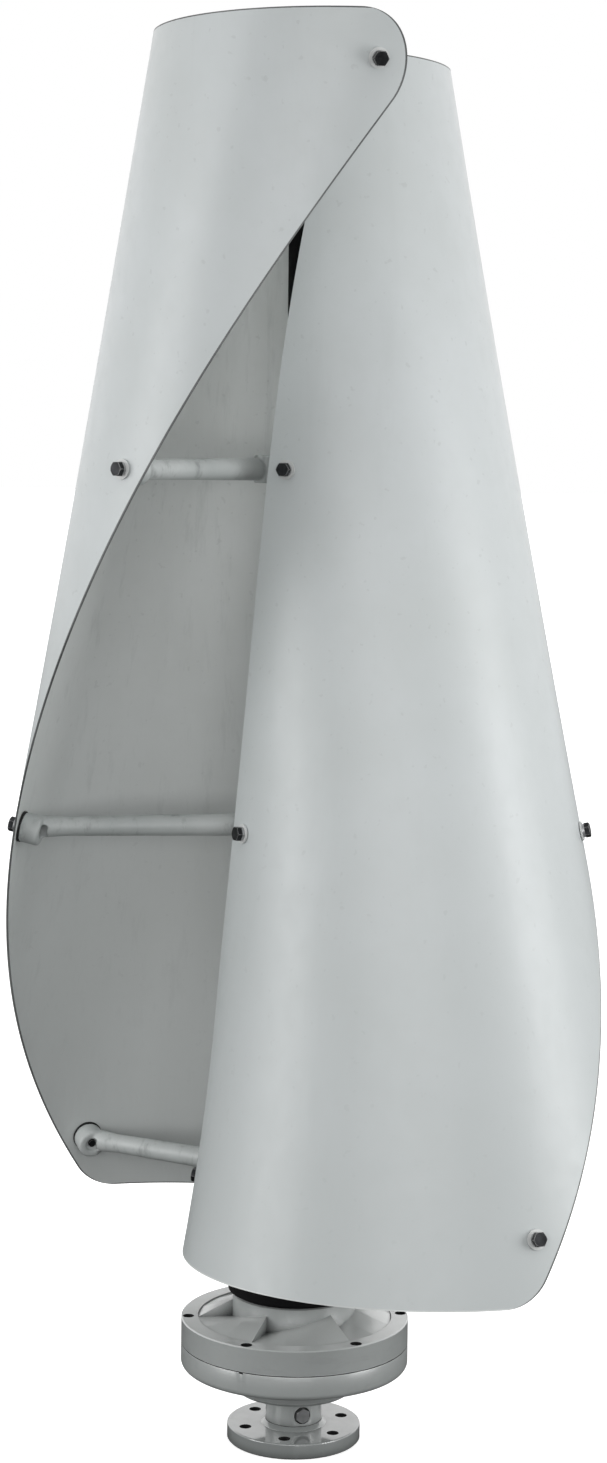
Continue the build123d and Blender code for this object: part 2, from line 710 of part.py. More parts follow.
def make_drive_key():
    return Pos(9.8, 0, DRIVE_Z + 5.0) * Box(4.9, 5.0, 8.0)


def make_shaft_nut():
    z = DRIVE_Z + DRIVE_THICK + 3.1
    nut = hexagon((0, 0, z), (0, 0, 1), 24.0, 13.0)
    crown = Pos(0, 0, z) * Cone(22.0, 11.6, 13.5, align=(Align.CENTER, Align.CENTER, Align.MIN))
    return (nut & crown) - disc(8.03, z - 1.0, 20.0)


def make_shaft_washer():
    return ring(13.5, 8.2, DRIVE_Z + DRIVE_THICK + 0.54, 2.5)


def make_rotor_disc(z):
    body = ring(ROTOR_DISC_R, 15.04, z, ROTOR_DISC_THICK)
    for hole in around(Pos(34.0, 0, z) * Cylinder(7.0, 20.0), 6):
        body -= hole
    return body


def magnets(z):
    one = Pos(MAGNET_PITCH_R, 0, z) * Cylinder(
        MAGNET_R, MAGNET_THICK, align=(Align.CENTER, Align.CENTER, Align.MIN)
    )
    return around(one, MAGNET_COUNT)


def make_rotor_spacer():
    z = LOWER_DISC_Z + ROTOR_DISC_THICK + 0.02
    return ring(23.0, 15.04, z, UPPER_DISC_Z - z - 0.02)


def make_rotor_locknut():
    z = UPPER_DISC_Z + ROTOR_DISC_THICK + 0.04
    body = ring(22.0, 15.04, z, 8.0)
    for notch in around(Pos(22.0, 0, z + 4.0) * Box(4.0, 5.0, 12.0), 4):
        body -= notch
    return body


def make_stator_disc():
    """Moulded disc that holds the coils."""
    body = ring(STATOR_R, 42.0, STATOR_Z, STATOR_THICK)
    coil_pocket = Pos(MAGNET_PITCH_R, 0, STATOR_Z) * Cylinder(COIL_OUTER_R + 0.03, 40.0)
    for pocket in around(coil_pocket, COIL_COUNT, 20.0):
        body -= pocket
    return body


def stator_coils():
    coil = Pos(MAGNET_PITCH_R, 0, 0) * ring(COIL_OUTER_R, COIL_INNER_R, STATOR_Z + 0.2, STATOR_THICK - 0.4)
    return around(coil, COIL_COUNT, 20.0)


def make_shaft_seal():
    z = UPPER_BEARING_Z + BEARING_WIDTH + 2.6
    return turned(
        [
            (21.96, z),
            (21.96, z + 5.2),
            (18.0, z + 5.2),
            (JOURNAL_R + 0.06, z + 4.0),
            (JOURNAL_R + 0.06, z + 2.8),
            (16.0, z + 2.8),
            (17.0, z),
        ]
    )


def make_cable_grommet():
    return ring(STUB_BORE_R - 0.04, CABLE_R + 0.05, 5.0, 8.0)


# ===================================================================== output
def group(shapes):
    """Compound of separate solids."""
    solids = []
    for shape in shapes:
        solids += list(shape.solids())
    return Compound(children=solids)


def save(name, shape):
    solids = list(shape.solids())
    export_step(solids[0] if len(solids) == 1 else Compound(children=solids), f"parts/{name}.step")


def main():
    os.makedirs("parts", exist_ok=True)
    save("base_flange", make_base_flange())
    save("neck_bolts", group(neck_bolts()))
    save("lower_cover", make_lower_cover())
    save("upper_cover", make_upper_cover())
    save("cover_gasket", make_cover_gasket())
    save("cover_bolts", group(cover_bolts()))
    save("stator_disc", make_stator_disc())
    save("stator_coils", group(stator_coils()))
    save("output_cable", cable(CABLE_R))
    save("cable_grommet", make_cable_grommet())
    save("shaft_seal", make_shaft_seal())
    for place, z in (("lower", LOWER_BEARING_Z), ("upper", UPPER_BEARING_Z)):
        outer_race = bearing_race(BEARING_OUTER_R - 0.02, BALL_PITCH_R + 2.4, z + 0.01)
        inner_race = bearing_race(BALL_PITCH_R - 2.4, JOURNAL_R + 0.02, z + 0.01)
        save(f"{place}_bearing_outer_ring", outer_race)
        save(f"{place}_bearing_inner_ring", inner_race)
        save(f"{place}_bearing_balls", group(bearing_balls(z + 0.01)))
        save(f"{place}_bearing_cage", make_ball_cage(z + 0.01))
    save("generator_shaft", make_shaft())
    save("lower_rotor_disc", make_rotor_disc(LOWER_DISC_Z))
    save("upper_rotor_disc", make_rotor_disc(UPPER_DISC_Z))
    save("lower_magnets", group(magnets(LOWER_DISC_Z + ROTOR_DISC_THICK + 0.02)))
    save("upper_magnets", group(magnets(UPPER_DISC_Z - MAGNET_THICK - 0.02)))
    save("rotor_spacer", make_rotor_spacer())
    save("rotor_locknut", make_rotor_locknut())
    save("drive_flange", make_drive_flange())
    save("drive_key", make_drive_key())
    save("shaft_nut", make_shaft_nut())
    save("shaft_washer", make_shaft_washer())
    save("mast_flange", make_tube_flange())
    hub_bolts, hub_washers, hub_nuts = hub_hardware()
    save("hub_bolts", group(hub_bolts))
    save("hub_washers", group(hub_washers))
    save("hub_nuts", group(hub_nuts))
    save("mast_tube", make_mast_tube())
    save("mast_cap", make_mast_cap())

    blade = make_blade()
    gaskets = blade_gaskets(blade)
    save("blade_a", blade)
    save("blade_b", half_turn(blade))
    save("blade_a_gaskets", group(gaskets))
    save("blade_b_gaskets", group([half_turn(g) for g in gaskets]))
    for level, z in zip(LEVEL_NAMES, ARM_LEVELS):
        arm = make_arm(z)
        save(f"{level}_arm_a", arm)
        save(f"{level}_arm_b", half_turn(arm))
    bolts, washers, nuts = clamp_hardware()
    save("clamp_bolts", group(bolts))
    save("clamp_washers", group(washers))
    save("clamp_nuts", group(nuts))
    for edge_name, index in (("outer", 0), ("inner", 1)):
        bolts, washers, locks = blade_hardware(index)
        save(f"{edge_name}_edge_bolts", group(bolts))
        save(f"{edge_name}_edge_washers", group(washers))
        save(f"{edge_name}_edge_lock_washers", group(locks))


main()
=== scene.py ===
import json
from math import cos, pi, radians, sin, sqrt, tan

import bmesh
import bpy
from mathutils import Matrix, Vector, noise


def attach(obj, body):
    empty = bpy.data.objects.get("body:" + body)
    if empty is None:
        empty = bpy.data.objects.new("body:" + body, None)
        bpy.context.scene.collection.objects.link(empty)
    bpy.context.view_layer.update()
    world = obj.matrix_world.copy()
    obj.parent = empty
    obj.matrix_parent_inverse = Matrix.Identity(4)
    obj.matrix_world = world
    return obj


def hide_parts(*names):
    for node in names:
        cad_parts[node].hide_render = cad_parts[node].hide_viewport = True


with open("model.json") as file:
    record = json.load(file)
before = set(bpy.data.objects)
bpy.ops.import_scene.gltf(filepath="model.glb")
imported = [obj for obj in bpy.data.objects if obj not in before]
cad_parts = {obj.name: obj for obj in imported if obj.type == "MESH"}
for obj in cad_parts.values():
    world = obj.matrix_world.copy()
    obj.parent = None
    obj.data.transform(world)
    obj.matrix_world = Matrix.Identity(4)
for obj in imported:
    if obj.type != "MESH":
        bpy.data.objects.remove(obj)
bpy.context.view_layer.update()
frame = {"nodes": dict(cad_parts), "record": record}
NODES = frame["nodes"]
SCENE = bpy.context.scene
MM = 0.001

# blade mesh, in millimetres or as a share of the width: rows crowd into a zone at both ends, and a narrow
# strip along the edges takes the look of the cut metal, with painted light on the bottom and inner edges and
# painted shade on the top and outer edges
END_ZONE = 104.0
END_ROWS = 30
MIDDLE_ROWS = 92
COLUMNS = 96
EDGE_STRIP = 0.0035
END_STRIP = 1.6
OUTSIDE, INSIDE, SHADED_CUT, LIT_CUT = range(4)

# ------------------------------------------------------------------ blade form
# The same section formulas as the CAD part, in millimetres and degrees: values at bottom, middle and top,
# and edge angles at quarter heights. The values are the rounded result of a fit to the photo, apart from the
# last outer edge angle, which was given separately.
BLADE_BOTTOM = 195.4
BLADE_HEIGHT = 1190.1
SHEET = 3.0
CENTRE_X = (-126.4, -84.1, 26.4)
CENTRE_Y = (30.6, -54.4, -123.1)
HALF_WIDTH = (238.9, 167.1, 175.0)
HALF_DEPTH = (190.3, 159.7, 177.7)
OUTER_EDGE = (113.6, 162.4, 208.2, 256.6, 308.0)
INNER_EDGE = (-30.8, 7.0, 35.7, 68.4, 110.2)
OUTER_CORNER_R = 52.0
INNER_CORNER_R = 40.0

# slight unevenness of the formed sheet: (noise per degree, noise per height, seed, depth in mm)
WAVES = ((0.055, 3.1, 4.0, 0.55), (0.16, 1.7, 9.0, 0.22))
SKIN_INSET = 0.55
INNER_INSET = SHEET - 1.1
CUT_EDGE_ROUND = 0.45


def quadratic(values, t):
    low, middle, high = values
    return low * (1 - t) * (1 - 2 * t) + middle * 4 * t * (1 - t) + high * t * (2 * t - 1)


def quartic(values, t):
    total = 0.0
    for i, value in enumerate(values):
        weight = 1.0
        for j in range(len(values)):
            if j != i:
                weight *= (t - j / 4) / (i / 4 - j / 4)
        total += weight * value
    return total


def blade_point(t, angle):
    a = radians(angle)
    x = quadratic(CENTRE_X, t) + quadratic(HALF_WIDTH, t) * cos(a)
    y = quadratic(CENTRE_Y, t) + quadratic(HALF_DEPTH, t) * sin(a)
    return Vector((x, y, BLADE_BOTTOM + BLADE_HEIGHT * t))


def blade_normal(t, angle):
    along = blade_point(t, angle + 0.5) - blade_point(t, angle - 0.5)
    upward = blade_point(t + 0.002, angle) - blade_point(t - 0.002, angle)
    return along.cross(upward).normalized()


def mm_per_degree(t, angle):
    return (blade_point(t, angle + 0.5) - blade_point(t, angle - 0.5)).length


def corner_pull(edge, end, inward, radius):
    """How far (mm) a rounded corner pulls the edge in, as a function of distance from the end."""
    corner = blade_point(end, quartic(edge, end))
    step = 0.02 if end < 0.5 else -0.02
    flat = (blade_point(end, quartic(edge, end) + inward * 6.0) - corner).normalized()
    tall = (blade_point(end + step, quartic(edge, end + step)) - corner).normalized()
    opening = flat.angle(tall)
    reach = radius / tan(opening / 2)
    tangent = radius * (1 + cos(opening))

    def pull(h):
        if h >= tangent:
            return 0.0
        drop = max(0.0, radius * radius - (radius - h) ** 2)
        return max(0.0, reach - sqrt(drop) - h * cos(opening) / sin(opening))

    return pull


def row_heights():
    """Heights (mm from the bottom) of the mesh rows, closer together at the rounded corners."""
    low = [END_ZONE * (1 - cos(pi * i / (2 * END_ROWS))) for i in range(END_ROWS + 1)]
    high = [BLADE_HEIGHT - h for h in reversed(low)]
    start, stop = low[-1], high[0]
    middle = [start + (stop - start) * i / MIDDLE_ROWS for i in range(1, MIDDLE_ROWS)]
    return low + middle + high


def new_object(name, source):
    """Links a new object made from a bmesh or from an existing mesh."""
    if isinstance(source, bmesh.types.BMesh):
        mesh = bpy.data.meshes.new(name)
        source.to_mesh(mesh)
        source.free()
    else:
        mesh = source
    obj = bpy.data.objects.new(name, mesh)
    SCENE.collection.objects.link(obj)
    return obj


def shade_smooth(obj, angle=40.0):
    bpy.context.view_layer.objects.active = obj
    for o in bpy.context.selected_objects:
        o.select_set(False)
    obj.select_set(True)
    bpy.ops.object.shade_smooth_by_angle(angle=radians(angle))
    obj.select_set(False)


def build_blade(name, turned):
    """Bent sheet as a clean quad shell with rounded corners, slight waviness and rounded cut edges."""
    pulls = {}
    for key, edge, end, inward, radius in (
        ("ob", OUTER_EDGE, 0.0, -1, OUTER_CORNER_R),
        ("ot", OUTER_EDGE, 1.0, -1, OUTER_CORNER_R),
        ("ib", INNER_EDGE, 0.0, 1, INNER_CORNER_R),
        ("it", INNER_EDGE, 1.0, 1, INNER_CORNER_R),
    ):
        pulls[key] = corner_pull(edge, end, inward, radius)
    across = [0.0, EDGE_STRIP] + [i / COLUMNS for i in range(1, COLUMNS)] + [1.0 - EDGE_STRIP, 1.0]
    columns = len(across) - 1
    rows = row_heights()
    grid = []
    for h in rows:
        t = h / BLADE_HEIGHT
        start = quartic(INNER_EDGE, t)
        end = quartic(OUTER_EDGE, t)
        start += (pulls["ib"](h) + pulls["it"](BLADE_HEIGHT - h)) / mm_per_degree(t, start)
        end -= (pulls["ob"](h) + pulls["ot"](BLADE_HEIGHT - h)) / mm_per_degree(t, end)
        line = []
        for u in across:
            angle = start + (end - start) * u
            line.append((t, angle, u))
        grid.append(line)

    def face_point(t, angle, u, depth):
        p = blade_point(t, angle)
        n = blade_normal(min(max(t, 0.002), 0.998), angle)
        away = min(u, 1 - u) * 4
        wave = 0.0
        for around, upward, seed, size in WAVES:
            wave += noise.noise(Vector((angle * around, t * upward, seed + turned))) * size
        wave *= min(1.0, away) * min(1.0, t * 12, (1 - t) * 12)
        return (p + n * (wave - SKIN_INSET - depth)) * MM

    bm = bmesh.new()
    outer = [[bm.verts.new(face_point(*c, 0.0)) for c in line] for line in grid]
    inner = [[bm.verts.new(face_point(*c, INNER_INSET)) for c in line] for line in grid]
    last_row = len(rows) - 1
    for i in range(last_row):
        for j in range(columns):
            # cut-edge strips: the outer-edge and top strips take the painted shade copy; the bottom strip
            # takes the painted light copy outside and the shade copy inside
            low_end = rows[i + 1] < END_STRIP
            shaded_end = j == columns - 1 or rows[i] > BLADE_HEIGHT - END_STRIP
            face = bm.faces.new((outer[i][j], outer[i][j + 1], outer[i + 1][j + 1], outer[i + 1][j]))
            face.material_index = SHADED_CUT if shaded_end else LIT_CUT if low_end else OUTSIDE
            face = bm.faces.new((inner[i][j], inner[i + 1][j], inner[i + 1][j + 1], inner[i][j + 1]))
            face.material_index = SHADED_CUT if shaded_end or low_end else INSIDE
    # cut faces: painted light at the bottom and inner edge, painted shade at the top and outer edge
    rim = []
    for j in range(columns):
        rim.append((LIT_CUT, outer[0][j], inner[0][j], inner[0][j + 1], outer[0][j + 1]))
        top_out, top_in = outer[last_row], inner[last_row]
        rim.append((SHADED_CUT, top_out[j + 1], top_in[j + 1], top_in[j], top_out[j]))
    for i in range(last_row):
        rim.append((LIT_CUT, outer[i + 1][0], inner[i + 1][0], inner[i][0], outer[i][0]))
        far_edge = (outer[i][columns], inner[i][columns], inner[i + 1][columns], outer[i + 1][columns])
        rim.append((SHADED_CUT, *far_edge))
    for slot, *corners in rim:
        face = bm.faces.new(corners)
        face.material_index = slot
    bmesh.ops.recalc_face_normals(bm, faces=bm.faces)
    if turned:
        bmesh.ops.rotate(bm, cent=(0, 0, 0), matrix=Matrix.Rotation(pi, 3, "Z"), verts=bm.verts)
    obj = new_object(name, bm)
    bevel = obj.modifiers.new("cut_edge", "BEVEL")
    bevel.width = CUT_EDGE_ROUND * MM
    bevel.segments = 2
    bevel.limit_method = "ANGLE"
    bevel.angle_limit = radians(50)
    shade_smooth(obj, 45)
    return obj


# ------------------------------------------------------------------- materials
SPECK_COLOUR = (120, 122, 120)
RIPPLE_SPACING = (38.0, 38.0, 3.2)
METAL_WEAR_R = 0.0008
AO_SAMPLES = 8
MIX_FACTOR, MIX_A, MIX_B, MIX_RESULT = 0, 6, 7, 2


def srgb(r, g, b):
    def lin(c):
        c /= 255.0
        return c / 12.92 if c <= 0.04045 else ((c + 0.055) / 1.055) ** 2.4

    return (lin(r), lin(g), lin(b), 1.0)


def mix_colour(tree, factor, a, b):
    n = tree.nodes.new("ShaderNodeMix")
    n.data_type = "RGBA"
    for socket, value in ((MIX_FACTOR, factor), (MIX_A, a), (MIX_B, b)):
        if isinstance(value, (tuple, float, int)):
            n.inputs[socket].default_value = value
        else:
            tree.links.new(value, n.inputs[socket])
    return n.outputs[MIX_RESULT]


def ramp(tree, factor, low, high, low_value=0.0, high_value=1.0):
    n = tree.nodes.new("ShaderNodeMapRange")
    n.clamp = True
    tree.links.new(factor, n.inputs["Value"])
    n.inputs["From Min"].default_value = low
    n.inputs["From Max"].default_value = high
    n.inputs["To Min"].default_value = low_value
    n.inputs["To Max"].default_value = high_value
    return n.outputs["Result"]


def noise_tex(tree, coords, scale, detail=4.0, roughness=0.55):
    n = tree.nodes.new("ShaderNodeTexNoise")
    n.inputs["Scale"].default_value = scale
    n.inputs["Detail"].default_value = detail
    n.inputs["Roughness"].default_value = roughness
    tree.links.new(coords, n.inputs["Vector"])
    return n.outputs["Fac"]


def stretched(tree, coords, sx, sy, sz):
    m = tree.nodes.new("ShaderNodeMapping")
    m.inputs["Scale"].default_value = (sx, sy, sz)
    tree.links.new(coords, m.inputs["Vector"])
    return m.outputs["Vector"]


def edge_wear(tree, radius):
    """1 on sharp edges, 0 on flat faces."""
    bevel = tree.nodes.new("ShaderNodeBevel")
    bevel.inputs["Radius"].default_value = radius
    geometry = tree.nodes.new("ShaderNodeNewGeometry")
    dot = tree.nodes.new("ShaderNodeVectorMath")
    dot.operation = "DOT_PRODUCT"
    tree.links.new(bevel.outputs["Normal"], dot.inputs[0])
    tree.links.new(geometry.outputs["Normal"], dot.inputs[1])
    return ramp(tree, dot.outputs["Value"], 0.995, 0.9)


def shaded_corner(tree, distance, strength):
    """Painted shade: 1 in the open, falling towards 1 - strength in narrow gaps and recesses."""
    shade = tree.nodes.new("ShaderNodeAmbientOcclusion")
    shade.samples = AO_SAMPLES
    shade.inputs["Distance"].default_value = distance
    return ramp(tree, shade.outputs["AO"], 0.15, 0.85, 1.0 - strength, 1.0)


def product(tree, value, factor):
    """A node value times a number or another node value."""
    n = tree.nodes.new("ShaderNodeMath")
    n.operation = "MULTIPLY"
    tree.links.new(value, n.inputs[0])
    if isinstance(factor, float):
        n.inputs[1].default_value = factor
    else:
        tree.links.new(factor, n.inputs[1])
    return n.outputs[0]


def darkened(tree, colour, factor):
    return mix_colour(tree, factor, (0.0, 0.0, 0.0, 1.0), colour)


def base_material(name):
    m = bpy.data.materials.new(name)
    m.use_nodes = True
    tree = m.node_tree
    shader = tree.nodes["Principled BSDF"]
    coords = tree.nodes.new("ShaderNodeTexCoord").outputs["Object"]
    return m, tree, shader, coords


def painted(name, colour, shade, roughness, grain=900.0, grain_depth=0.00004, wear=None, wear_radius=0.0012,
            streak=None, speck=0.0, coat=0.15, coat_rough=0.35, coat_ior=1.5, painted_recess_shade=None, painted_top_light=None,
            specular=0.5, ripple=0.0, painted_low_shade=None):
    """Painted metal: patchy colour and fine orange peel, with these options:

    wear: colour of rubbed edges, within wear_radius of them
    streak: colour, noise scale along x, y and z, and amount
    speck: amount of dark specks
    painted_recess_shade: reach in m and strength of the painted shade in narrow gaps, which also dims the
    coat and specular there
    painted_top_light: colour of the painted light on faces that look up
    ripple: depth in m of long waves
    painted_low_shade: heights and the paint's share at each of them, then the darker colour of the painted
    shade that takes the rest
    """
    m, tree, shader, coords = base_material(name)
    patch = noise_tex(tree, coords, 7.0, 5.0)
    fine = noise_tex(tree, coords, 60.0, 6.0, 0.65)
    out = mix_colour(tree, ramp(tree, patch, 0.35, 0.68), colour, shade)
    out = mix_colour(tree, ramp(tree, fine, 0.5, 0.8, 0.0, 0.35), out, shade)
    if streak:
        streak_colour, spacing, amount = streak
        lines = noise_tex(tree, stretched(tree, coords, *spacing), 1.0, 6.0, 0.7)
        out = mix_colour(tree, ramp(tree, lines, 0.55, 0.72, 0.0, amount), out, streak_colour)
    if speck:
        spots = noise_tex(tree, coords, 140.0, 2.0, 0.4)
        out = mix_colour(tree, ramp(tree, spots, 0.69, 0.74, 0.0, speck), out, srgb(*SPECK_COLOUR))
    rough = ramp(tree, fine, 0.3, 0.7, roughness - 0.06, roughness + 0.08)
    if wear:
        worn = edge_wear(tree, wear_radius)
        broken = product(tree, worn, ramp(tree, fine, 0.42, 0.58))
        out = mix_colour(tree, broken, out, wear)
    # painted light: faces that look up take a paler colour
    if painted_top_light:
        normal = tree.nodes.new("ShaderNodeSeparateXYZ")
        tree.links.new(tree.nodes.new("ShaderNodeNewGeometry").outputs["Normal"], normal.inputs[0])
        out = mix_colour(tree, ramp(tree, normal.outputs["Z"], 0.25, 0.9), out, painted_top_light)
    # painted shade: the colour darkens towards the bottom
    if painted_low_shade:
        height = tree.nodes.new("ShaderNodeSeparateXYZ")
        tree.links.new(coords, height.inputs[0])
        out = mix_colour(tree, ramp(tree, height.outputs["Z"], *painted_low_shade[0]), painted_low_shade[1], out)
    shader.inputs["Coat Weight"].default_value = coat
    shader.inputs["Specular IOR Level"].default_value = specular
    # painted shade in narrow gaps and recesses: darker colour and weaker coat and specular there
    if painted_recess_shade:
        open_air = shaded_corner(tree, *painted_recess_shade)
        out = darkened(tree, out, open_air)
        tree.links.new(product(tree, open_air, coat), shader.inputs["Coat Weight"])
        tree.links.new(product(tree, open_air, specular), shader.inputs["Specular IOR Level"])
    tree.links.new(out, shader.inputs["Base Color"])
    tree.links.new(rough, shader.inputs["Roughness"])
    shader.inputs["Coat Roughness"].default_value = coat_rough
    shader.inputs["Coat IOR"].default_value = coat_ior
    bump = tree.nodes.new("ShaderNodeBump")
    bump.inputs["Strength"].default_value = 1.0
    bump.inputs["Distance"].default_value = grain_depth
    tree.links.new(noise_tex(tree, coords, grain, 2.0), bump.inputs["Height"])
    if ripple:
        waves = tree.nodes.new("ShaderNodeBump")
        waves.inputs["Distance"].default_value = ripple
        long_waves = noise_tex(tree, stretched(tree, coords, *RIPPLE_SPACING), 1.0, 3.0)
        tree.links.new(long_waves, waves.inputs["Height"])
        tree.links.new(waves.outputs["Normal"], bump.inputs["Normal"])
    tree.links.new(bump.outputs["Normal"], shader.inputs["Normal"])
    return m


def metal(name, colour, shade, roughness, brushed=(300.0, 300.0, 40.0), wear=None, depth=0.00002,
          metallic=1.0):
    """Bare or blackened metal with turning or brushing marks."""
    m, tree, shader, coords = base_material(name)
    patch = noise_tex(tree, coords, 90.0, 5.0, 0.6)
    lines = noise_tex(tree, stretched(tree, coords, *brushed), 4.0, 4.0, 0.6)
    out = mix_colour(tree, ramp(tree, patch, 0.3, 0.7), colour, shade)
    if wear:
        out = mix_colour(tree, edge_wear(tree, METAL_WEAR_R), out, wear)
    tree.links.new(out, shader.inputs["Base Color"])
    rough = ramp(tree, lines, 0.3, 0.7, roughness - 0.08, roughness + 0.12)
    tree.links.new(rough, shader.inputs["Roughness"])
    shader.inputs["Metallic"].default_value = metallic
    bump = tree.nodes.new("ShaderNodeBump")
    bump.inputs["Strength"].default_value = 0.6
    bump.inputs["Distance"].default_value = depth
    tree.links.new(lines, bump.inputs["Height"])
    tree.links.new(bump.outputs["Normal"], shader.inputs["Normal"])
    return m


def dull(name, colour, shade, roughness, grain=500.0, depth=0.00006):
    """Rubber, plastic or resin, and the near-black painted shadow in holes."""
    m, tree, shader, coords = base_material(name)
    patch = noise_tex(tree, coords, 40.0, 5.0)
    grains = noise_tex(tree, coords, grain, 3.0)
    out = mix_colour(tree, ramp(tree, patch, 0.3, 0.7), colour, shade)
    rough = ramp(tree, grains, 0.3, 0.7, roughness - 0.08, roughness + 0.08)
    tree.links.new(out, shader.inputs["Base Color"])
    tree.links.new(rough, shader.inputs["Roughness"])
    bump = tree.nodes.new("ShaderNodeBump")
    bump.inputs["Distance"].default_value = depth
    bump.inputs["Strength"].default_value = 0.8
    tree.links.new(grains, bump.inputs["Height"])
    tree.links.new(bump.outputs["Normal"], shader.inputs["Normal"])
    return m


MATERIALS = {
    # outside paint, with painted shade towards the bottom
    "blade_outside": painted(
        "blade_outside", srgb(197, 202, 203), srgb(191, 196, 196), 0.42, speck=0.12, coat=0.25,
        streak=(srgb(180, 185, 185), (22.0, 22.0, 1.4), 0.18), ripple=0.0002,
        painted_low_shade=((0.18, 0.85, 0.25, 1.0), srgb(168, 173, 173)),
    ),
    # inside paint: a lighter copy of the outside paint as painted light in the hollow, with painted shade
    # towards the bottom
    "blade_inside": painted(
        "blade_inside", srgb(228, 231, 230), srgb(220, 223, 221), 0.5, speck=0.12, coat=0.1,
        streak=(srgb(160, 165, 163), (70.0, 70.0, 4.0), 0.24), ripple=0.0008,
        painted_low_shade=((0.25, 0.95, 0.15, 1.0), srgb(196, 200, 199)),
    ),
    # cut metal in two copies: painted shade for the top and outer edges, painted light for the bottom and
    # inner edges
    "blade_edge_shaded": painted(
        "blade_edge_shaded", srgb(110, 112, 112), srgb(70, 72, 72), 0.5, wear=srgb(150, 152, 152),
        wear_radius=0.0004, coat=0.0,
    ),
    "blade_edge_lit": painted(
        "blade_edge_lit", srgb(206, 209, 208), srgb(176, 179, 178), 0.45, wear=srgb(226, 228, 227),
        wear_radius=0.0004, coat=0.1,
    ),
    "arm_paint": painted(
        "arm_paint", srgb(186, 190, 189), srgb(158, 163, 162), 0.45, grain=420.0, grain_depth=0.00012,
        wear=srgb(96, 98, 97), streak=(srgb(84, 86, 86), (60.0, 60.0, 22.0), 0.55), coat=0.2,
    ),
    # painted shade in narrow gaps and recesses, and painted light on faces that look up
    "housing_paint": painted(
        "housing_paint", srgb(158, 162, 161), srgb(146, 150, 149), 0.42, grain=600.0, grain_depth=0.00005,
        wear=srgb(196, 199, 198), wear_radius=0.001, coat=1.0, coat_rough=0.26, coat_ior=2.1,
        painted_recess_shade=(0.016, 0.97), painted_top_light=srgb(176, 179, 178),
        streak=(srgb(118, 122, 121), (18.0, 18.0, 60.0), 0.25),
    ),
    # painted shade in narrow gaps and recesses
    "foot_paint": painted(
        "foot_paint", srgb(140, 144, 143), srgb(130, 134, 133), 0.35, grain=600.0, grain_depth=0.00001,
        wear=srgb(190, 193, 192), wear_radius=0.001, coat=1.0, coat_rough=0.07, coat_ior=2.1,
        painted_recess_shade=(0.014, 0.97), streak=(srgb(118, 122, 121), (18.0, 18.0, 60.0), 0.2),
    ),
    # painted shade in narrow gaps and recesses
    "black_steel": painted(
        "black_steel", srgb(9, 9, 10), srgb(5, 5, 6), 0.8, grain=500.0, wear=srgb(30, 31, 32), coat=0.0,
        painted_recess_shade=(0.03, 0.9), specular=0.15,
    ),
    "black_hardware": metal(
        "black_hardware", srgb(24, 24, 25), srgb(12, 12, 13), 0.5, wear=srgb(90, 90, 90), metallic=0.5
    ),
    # near-black material for the painted shadow on hole walls
    "painted_hole_shadow": dull("painted_hole_shadow", srgb(8, 8, 9), srgb(3, 3, 4), 0.9),
    "pale_washer": dull("pale_washer", srgb(214, 216, 215), srgb(190, 192, 191), 0.45),
    "neck_hardware": metal("neck_hardware", srgb(150, 151, 152), srgb(118, 119, 120), 0.42, metallic=0.7),
    "dark_hardware": metal(
        "dark_hardware", srgb(58, 59, 61), srgb(22, 23, 24), 0.34, wear=srgb(170, 170, 170), metallic=0.8
    ),
    "bright_hardware": metal("bright_hardware", srgb(196, 197, 198), srgb(160, 161, 163), 0.34),
    "machined_steel": metal("machined_steel", srgb(180, 181, 183), srgb(150, 151, 153), 0.3),
    "bearing_steel": metal("bearing_steel", srgb(210, 210, 212), srgb(186, 186, 190), 0.18),
    "magnet_nickel": metal("magnet_nickel", srgb(200, 200, 194), srgb(172, 172, 168), 0.25),
    "brass_cage": metal("brass_cage", srgb(190, 150, 84), srgb(158, 120, 62), 0.35),
    "copper_coils": metal(
        "copper_coils", srgb(190, 110, 66), srgb(140, 72, 40), 0.4, brushed=(40.0, 40.0, 2200.0)
    ),
    "stator_resin": dull("stator_resin", srgb(40, 66, 48), srgb(28, 50, 36), 0.4),
    "black_rubber": dull("black_rubber", srgb(26, 26, 27), srgb(16, 16, 17), 0.7),
    "cable_jacket": dull("cable_jacket", srgb(30, 30, 32), srgb(20, 20, 22), 0.5),
    "gasket_fibre": dull("gasket_fibre", srgb(40, 41, 41), srgb(26, 27, 27), 0.8),
}

SLOT_OF = {s["node"]: s["material_slot"] for s in frame["record"]["subparts"]}


def dress(obj, *names):
    if obj.data.materials:
        obj.data.materials.clear()
    for name in names:
        obj.data.materials.append(MATERIALS[name])


OWN_LOOK = {"base_flange": "foot_paint", "cover_bolts": "black_hardware", "neck_bolts": "neck_hardware",
            "outer_edge_washers": "pale_washer", "inner_edge_washers": "pale_washer"}
for node_name, cad in NODES.items():
    slot = OWN_LOOK.get(node_name, SLOT_OF[node_name])
    if slot != "blade_paint":
        dress(cad, slot)

# --------------------------------------------------------------- painted shadow in holes
FOOT_PCD_R = 51.0
FOOT_HOLE_TURN = 20.0
FOOT_HOLE_R = 6.0
COVER_PCD_R = 106.6
COVER_BOLT_TURN = 4.2
COVER_HOLE_R = 5.6
NECK_BOLT_Z = 29.5
NECK_BOLT_TURN = -71.3
NECK_RECESS_R = 8.4
NECK_RECESS_START = 20.0
WALL_SLACK = 1.04
WALL_TILT = 0.6
SHADOW_SLOT = 1


def upright_axes(pitch_r, turn):
    """Six upright hole axes, each as (point, direction), in millimetres."""
    places = [radians(turn + 60.0 * i) for i in range(6)]
    return [(Vector((pitch_r * cos(a), pitch_r * sin(a), 0.0)), Vector((0, 0, 1))) for a in places]


